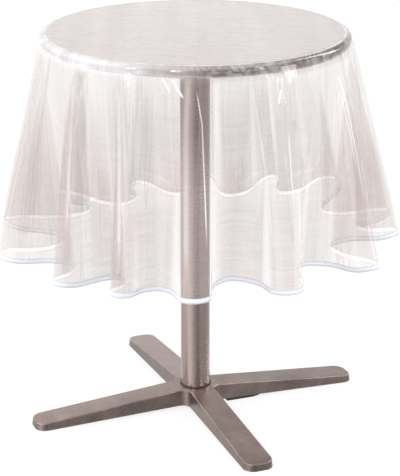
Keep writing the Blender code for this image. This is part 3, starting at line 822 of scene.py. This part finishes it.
def make_creases():
    """Sharp creases that run down from the rim: (angle, sideways drift, length, half width, height)."""
    found = []
    for i in range(CREASE_COUNT):
        turn = (i * GOLDEN_SHARE + 0.06 * noise.noise(Vector((i * 1.7, 0.5, 0)))) % 1.0
        pick = [0.5 + 0.5 * noise.noise(Vector((i * 3.1 + 0.4, channel * 5.3, 1.9))) for channel in range(4)]
        found.append((2 * math.pi * turn, 0.5 * (pick[0] - 0.5), 0.05 + 0.36 * pick[1] ** 2,
                      0.0022 + 0.004 * pick[2], 0.0008 + 0.0028 * pick[3] ** 2))
    return found


CREASES = make_creases()


def crease(angle, distance):
    """How far the creases lift the film there, distance down from the rim's widest point."""
    lift = 0.0
    for at, drift, length, half, height in CREASES:
        if distance >= length:
            continue
        off = (angle - at - drift * distance / TOP_RADIUS + math.pi) % (2 * math.pi) - math.pi
        gap = abs(off) * TOP_RADIUS
        if gap < 6 * half:
            ridge = height * math.exp(-gap / half) * smooth(length, 0.3 * length, distance)
            lift += ridge * smooth(0.0, 0.02, distance)
    return lift


def pucker(angle, span):
    """Small gathers where the film turns over the rim, from 0 to 1."""
    value = noise.noise(Vector((math.cos(angle) * 9, math.sin(angle) * 9, span * 3)))
    fine = noise.noise(Vector((math.cos(angle) * 24, math.sin(angle) * 24, 5 + span * 4)))
    return 0.5 + 0.5 * (0.75 * value + 0.3 * fine)


def skirt_point(k, distance):
    """A point of the skirt that far down line k from the rim's widest point."""
    k %= HEM_SAMPLES
    angle, hem = RIM_ANGLES[k], HEM[k]
    widest = TOP_RADIUS + GAP
    rim = Vector((widest * math.cos(angle), widest * math.sin(angle)))
    run = (hem - rim).length
    drop = math.sqrt(DROP_LENGTH ** 2 - run ** 2)
    t = distance / DROP_LENGTH
    aside = rim.normalized() * hem.length
    swing = (hem - aside) * t ** 0.3
    spot = rim.lerp(aside, t + BULGE * t * (1 - t)) + swing
    gather = lerp(*DROP_GATHER, smooth(0, 0.015, distance)) * pucker(angle, t) * math.exp(-distance / 0.05)
    spot += rim.normalized() * (gather + crease(angle, distance))
    wave = noise.noise(Vector((hem.x * 16, hem.y * 16, t * 1.6)))
    spot += rim.normalized() * WAVE_HEIGHT * wave * smooth(0, 0.35, t) * smooth(1.0, 0.7, t)
    return Vector((spot.x, spot.y, TABLE_HEIGHT - RIM_RADIUS - drop * t))


def top_point(k, row):
    """A point of the film where it lies on the top, from the centre out to the rim's start."""
    angle = RIM_ANGLES[k]
    radius = FLAT_RADIUS * row / TOP_ROWS
    x, y = radius * math.cos(angle), radius * math.sin(angle)
    slack = FLAT_SLACK * (0.5 + 0.5 * noise.noise(Vector((x * 11, y * 11, 0))))
    line = noise.noise(Vector((x * 8 + 3, y * 5, 2.0))) + 0.3 * noise.noise(Vector((x * 30, y * 30, 4.0)))
    slack += FLAT_SLACK * math.exp(-abs(line) / 0.03) * smooth(FLAT_RADIUS, 0.8 * FLAT_RADIUS, radius)
    slack += FLAT_SLACK * pucker(angle, 0) * math.exp(-(FLAT_RADIUS - radius) / 0.012)
    return Vector((x, y, TABLE_HEIGHT + GAP + slack))


def rim_point(k, row):
    """A point of the film on its way over the half-round edge."""
    angle = RIM_ANGLES[k]
    turn = math.radians(90 * row / RIM_ROWS)
    gather = lerp(*RIM_GATHER, row / RIM_ROWS) * pucker(angle, 0)
    out = RIM_RADIUS + GAP + gather
    radius = FLAT_RADIUS + out * math.sin(turn)
    height = TABLE_HEIGHT - RIM_RADIUS + out * math.cos(turn)
    return Vector((radius * math.cos(angle), radius * math.sin(angle), height))


def round_hem(step):
    """How far round the hem that line is, in metres."""
    return 2 * math.pi * CLOTH_RADIUS * step / HEM_SAMPLES


def make_film():
    """The film in one layer, to just inside the tape. Its texture runs round the hem and outwards."""
    bm = bmesh.new()
    uv = bm.loops.layers.uv.new("polar")
    film_end = DROP_LENGTH - TAPE_OVERLAP * TAPE_HEIGHT
    centre = bm.verts.new((0, 0, TABLE_HEIGHT + GAP))
    rings, falls = [], []
    for row in range(1, TOP_ROWS + 1):
        rings.append([bm.verts.new(top_point(k, row)) for k in range(HEM_SAMPLES)])
        falls.append(FLAT_RADIUS * row / TOP_ROWS)
    for row in range(1, RIM_ROWS + 1):
        rings.append([bm.verts.new(rim_point(k, row)) for k in range(HEM_SAMPLES)])
        falls.append(FLAT_RADIUS + RIM_RADIUS * math.pi / 2 * row / RIM_ROWS)
    for row in range(1, SKIRT_ROWS + 1):
        distance = film_end * row / SKIRT_ROWS
        rings.append([bm.verts.new(skirt_point(k, distance)) for k in range(HEM_SAMPLES)])
        falls.append(CLOTH_RADIUS - DROP_LENGTH + distance)
    for k in range(HEM_SAMPLES):
        bm.faces.new((centre, rings[0][k], rings[0][(k + 1) % HEM_SAMPLES]))
    for (a, fall_a), (b, fall_b) in zip(zip(rings, falls), zip(rings[1:], falls[1:])):
        for k in range(HEM_SAMPLES):
            j = (k + 1) % HEM_SAMPLES
            face = bm.faces.new((a[k], b[k], b[j], a[j]))
            places = ((k, fall_a), (k, fall_b), (k + 1, fall_b), (k + 1, fall_a))
            for loop, (step, fall) in zip(face.loops, places):
                loop[uv].uv = (round_hem(step), fall)
    return new_object("clear_cloth", bm, film, 180)


def tape_frame(k):
    """Upper and lower middle of the tape at line k, and the direction square to it."""
    upper = skirt_point(k, DROP_LENGTH - TAPE_HEIGHT)
    lower = skirt_point(k, DROP_LENGTH)
    along = skirt_point(k + 1, DROP_LENGTH) - skirt_point(k - 1, DROP_LENGTH)
    out = along.cross(lower - upper).normalized()
    return upper, lower, out


def make_binding():
    """The bias tape, folded over the film's edge: a flat sleeve, a little fuller at its fold."""
    bm = bmesh.new()
    uv = bm.loops.layers.uv.new("tape")
    # share of the way down, and how far out as a share of the half thickness
    section = ((0.00, 0.35), (0.03, 0.55), (0.45, 0.62), (0.90, 0.80), (0.98, 0.55), (1.0, 0.0),
               (0.98, -0.55), (0.90, -0.80), (0.45, -0.62), (0.03, -0.55), (0.00, -0.35))
    loops = []
    for k in range(HEM_SAMPLES):
        upper, lower, out = tape_frame(k)
        ruffle = TAPE_RUFFLE * noise.noise(Vector((k * 0.11, 3, 7)))
        loops.append([bm.verts.new(upper.lerp(lower, share)
                                   + out * (side * TAPE_HALF_THICKNESS + ruffle * share))
                      for share, side in section])
    count = len(section)
    for k in range(HEM_SAMPLES):
        a, b = loops[k], loops[(k + 1) % HEM_SAMPLES]
        for i in range(count):
            j = (i + 1) % count
            face = bm.faces.new((a[i], a[j], b[j], b[i]))
            for loop, (step, row) in zip(face.loops, ((k, i), (k, i + 1), (k + 1, i + 1), (k + 1, i))):
                loop[uv].uv = (round_hem(step), TAPE_ROW * row)
    bmesh.ops.recalc_face_normals(bm, faces=bm.faces)
    return new_object("white_binding", bm, tape, 60)


def make_stitches():
    """A row of short thread stitches near the tape's upper edge, on both of its faces."""
    # share of the way along a stitch's line, and the share of the thread's full thickness there
    lengthwise = ((0.14, 0.35), (0.28, 1.0), (0.62, 1.0), (0.76, 0.35))
    bm = bmesh.new()
    for k in range(HEM_SAMPLES):
        ends = []
        for line in (k, k + 1):
            upper, lower, out = tape_frame(line)
            ends.append((upper.lerp(lower, STITCH_AT), out, (lower - upper).normalized()))
        for side in (1, -1):
            rings = []
            for share, full in lengthwise:
                spot = ends[0][0].lerp(ends[1][0], share)
                out = ends[0][1].lerp(ends[1][1], share) * side
                down = ends[0][2]
                ring = []
                for turn in range(6):
                    a = math.radians(60 * turn)
                    offset = out * (math.sin(a) * THREAD_RADIUS * full)
                    offset = offset + down * (math.cos(a) * THREAD_RADIUS * full)
                    ring.append(bm.verts.new(spot + out * THREAD_OUT + offset))
                rings.append(ring)
            for a, b in zip(rings, rings[1:]):
                for turn in range(6):
                    bm.faces.new((a[turn], b[turn], b[(turn + 1) % 6], a[(turn + 1) % 6]))
            bm.faces.new(rings[0])
            bm.faces.new(rings[-1])
    bmesh.ops.recalc_face_normals(bm, faces=bm.faces)
    return new_object("binding_stitches", bm, thread, 60)


# ---- pieces: which solid each replaces, the body it rides and its material slot ----
top_skin = make_top()
column = make_column()
seat = make_seat_ring()
cast_base = make_base()
cloth = make_film()
binding = make_binding()
stitches = make_stitches()

for piece, cad_node, body, slot in (
    (top_skin, "top_sheet", "table", "brushed_sheet"),
    (column, "column_tube", "table", "taupe_column"),
    (seat, "seat_ring", "table", "dark_rubber"),
    (cast_base, "base_casting", "table", "taupe_casting"),
    (cloth, "tablecloth", "cloth", "clear_film"),
    (binding, "hem_binding", "cloth", "white_tape"),
):
    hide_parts(cad_node)
    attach(piece, body)

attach(stitches, "cloth")

# ---- the looks of the solids that stay as the CAD has them ----
numbers = range(1, 5)
steel = ["tie_rod", "top_washer", "top_nut", "bottom_washer", "bottom_nut"]
steel += [f"{kind}_{number}" for kind in ("bracket_screw", "glide_stem") for number in numbers]
pads = [f"glide_pad_{number}" for number in numbers]
# rubber_block is a dark block under one arm, given the dark rubber look; what it stands for is not known
for finish, names in ((board, ["top_core"]), (bracket_iron, ["top_bracket"]), (zinc_steel, steel),
                      (dark_rubber, ["rubber_block"]), (black_plastic, pads)):
    for name in names:
        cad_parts[name].data.materials[0] = finish


# ---- studio ----
# Brightness of the room in reflections, against the share of a full turn: 0 is behind the table,
# then 0.25 left, 0.5 front and 0.75 right. Each of these is for one height of the direction.
ROOM_LOW = ((0.0, 1.18), (0.08, 1.1), (0.13, 0.66), (0.21, 0.70), (0.30, 0.80), (0.345, 1.05),
            (0.41, 0.88), (0.47, 0.50), (0.55, 0.28), (0.585, 0.31), (0.62, 0.45), (0.665, 0.42),
            (0.70, 0.34), (0.76, 0.50), (0.84, 0.50), (0.91, 0.95), (1.0, 1.18))
ROOM_LEVEL = ((0.0, 1.18), (0.10, 0.90), (0.30, 0.80), (0.50, 0.62), (0.65, 0.52), (0.80, 0.55),
              (0.91, 0.95), (1.0, 1.18))
ROOM_MIDDLE = ((0.0, 0.85), (0.05, 1.2), (0.10, 1.05), (0.34, 0.95), (0.42, 0.75), (0.50, 0.55),
               (0.56, 0.40), (0.65, 0.30), (0.82, 0.24), (0.90, 0.28), (0.95, 0.34), (0.98, 0.55),
               (1.0, 0.85))
ROOM_TOP = (1.1, 1.1, 1.1, 1)
# Bright panels. A reflection shows them if it passes one layer of film at most, so they are on the
# nearest film and on bare metal, but not on metal behind film. Each is from and to which share of
# a turn, from and to which z of the direction, and brightness.
PANELS = (
    (0.10, 0.36, 0.08, 0.50, 1.2),
    (0.17, 0.30, 0.52, 0.80, 2.6),
    (0.825, 0.865, 0.25, 0.75, 8.0),
    (0.453, 0.468, 0.29, 0.60, 14.0),
    (0.385, 0.415, 0.0, 0.14, 3.0),
    (0.360, 0.372, 0.29, 0.60, 14.0),
    (0.60, 0.63, 0.0, 0.12, 3.0),
    (0.636, 0.648, 0.29, 0.55, 14.0),
    (0.68, 0.71, -0.05, 0.12, 5.0),
)
PANEL_SIDE_SOFT = 0.006
PANEL_END_SOFT = 0.03
FLOOR_HALF_SIZE = 12.0
LAMPS = (
    # name, place, height on the axis that it points at, width, height, power in watts
    ("left_window", (-2.8, -0.9, 1.9), 0.5, 1.8, 2.2, 62.0),
    ("right_window", (2.8, -0.7, 1.9), 0.5, 1.6, 2.0, 46.0),
    ("overhead", (0.3, 0.4, 3.2), 0.5, 2.4, 2.4, 14.0),
    ("front", (0.9, -3.6, 2.9), 0.45, 2.2, 1.6, 50.0),
)
CAMERA_PLACE = (0.0092, -3.2408, 1.4711)
CAMERA_TILT = math.radians(70.803)
CAMERA_LENS = 134.67
CAMERA_SENSOR = 36.0


def window(tree, value, low, high, soft):
    """1 where value is between low and high, and 0 outside."""
    rise = spread(tree, value, low - soft, low + soft)
    return times(tree, rise, spread(tree, value, high - soft, high + soft, 1.0, 0.0))


def make_world():
    """Plain white where the camera looks. Reflections see a pale room with a large soft window
    on the left and a darker side on the right."""
    world = bpy.data.worlds.new("studio")
    bpy.context.scene.world = world
    world.use_nodes = True
    tree = world.node_tree
    tree.nodes.clear()
    x, y, z = axes(tree, node(tree, "ShaderNodeTexCoord").outputs["Generated"])
    turn = maths(tree, "ARCTAN2", x, times(tree, y, -1.0))
    share = add(tree, maths(tree, "DIVIDE", turn, 2 * math.pi), 0.5)

    def room(stops):
        greys = [(at, (level, level * 0.985, level * 0.98)) for at, level in stops]
        return ramp(tree, share, *greys, ends="EASE")

    sky = room(ROOM_LOW)
    sky = mix_colour(tree, spread(tree, z, 0.02, 0.14), sky, room(ROOM_LEVEL))
    sky = mix_colour(tree, spread(tree, z, 0.24, 0.36), sky, room(ROOM_MIDDLE))
    sky = mix_colour(tree, spread(tree, z, 0.60, 0.88), sky, ROOM_TOP)
    paths = node(tree, "ShaderNodeLightPath").outputs
    unveiled = times(tree, paths["Is Glossy Ray"], maths(tree, "LESS_THAN", paths["Transparent Depth"], 1.5))
    for start, end, bottom, top, strength in PANELS:
        amount = times(tree, window(tree, share, start, end, PANEL_SIDE_SOFT),
                       window(tree, z, bottom, top, PANEL_END_SOFT), unveiled)
        sky = mix_colour(tree, amount, sky, (strength, strength, strength, 1))
    colour = mix_colour(tree, paths["Is Camera Ray"], sky, (1, 1, 1, 1))
    background = node(tree, "ShaderNodeBackground", {"Color": colour, "Strength": 1.0})
    node(tree, "ShaderNodeOutputWorld", {"Surface": background.outputs[0]})


def make_floor():
    """A pale floor that is brighter far away. Reflections don't see it."""
    bm = bmesh.new()
    bmesh.ops.create_grid(bm, x_segments=8, y_segments=8, size=FLOOR_HALF_SIZE)
    material, tree, shader, _ = new_material("studio_floor")
    faint = fractal(tree, coordinates(tree), 3.0, 2.0)
    tones = ramp(tree, faint, (0.3, (0.175, 0.175, 0.175)), (0.7, (0.185, 0.185, 0.185)))
    put(shader, "Base Color", tones)
    put(shader, "Roughness", 0.9)
    put(shader, "Specular IOR Level", 0.0)
    put(shader, "Emission Color", (1, 1, 1, 1))
    flat = coordinates(tree, (1, 1, 0))
    away = node(tree, "ShaderNodeVectorMath", {0: flat}, operation="LENGTH").outputs["Value"]
    put(shader, "Emission Strength", spread(tree, away, 1.5, 7.0, 0.815, 0.94))
    floor = new_object("studio_floor", bm, material, 180)
    floor.visible_glossy = False


def make_light(name, place, target, width, height, power):
    light = bpy.data.lights.new(name, "AREA")
    light.shape = "RECTANGLE"
    light.size, light.size_y = width, height
    light.energy = power
    lamp = bpy.data.objects.new(name, light)
    bpy.context.scene.collection.objects.link(lamp)
    lamp.location = place
    lamp.visible_glossy = False
    aim = Vector((0, 0, target)) - Vector(place)
    lamp.rotation_euler = aim.to_track_quat("-Z", "Y").to_euler()


def make_camera():
    """The photo's view of the table."""
    data = bpy.data.cameras.new("camera")
    data.sensor_width = CAMERA_SENSOR
    data.lens = CAMERA_LENS
    camera = bpy.data.objects.new("camera", data)
    bpy.context.scene.collection.objects.link(camera)
    camera.location = CAMERA_PLACE
    camera.rotation_euler = (CAMERA_TILT, 0.0, 0.0)
    bpy.context.scene.camera = camera


make_world()
make_floor()
for lamp in LAMPS:
    make_light(*lamp)
make_camera()
scene = bpy.context.scene
scene.view_settings.view_transform = "Standard"
scene.cycles.transparent_max_bounces = 32
scene.cycles.max_bounces = 10
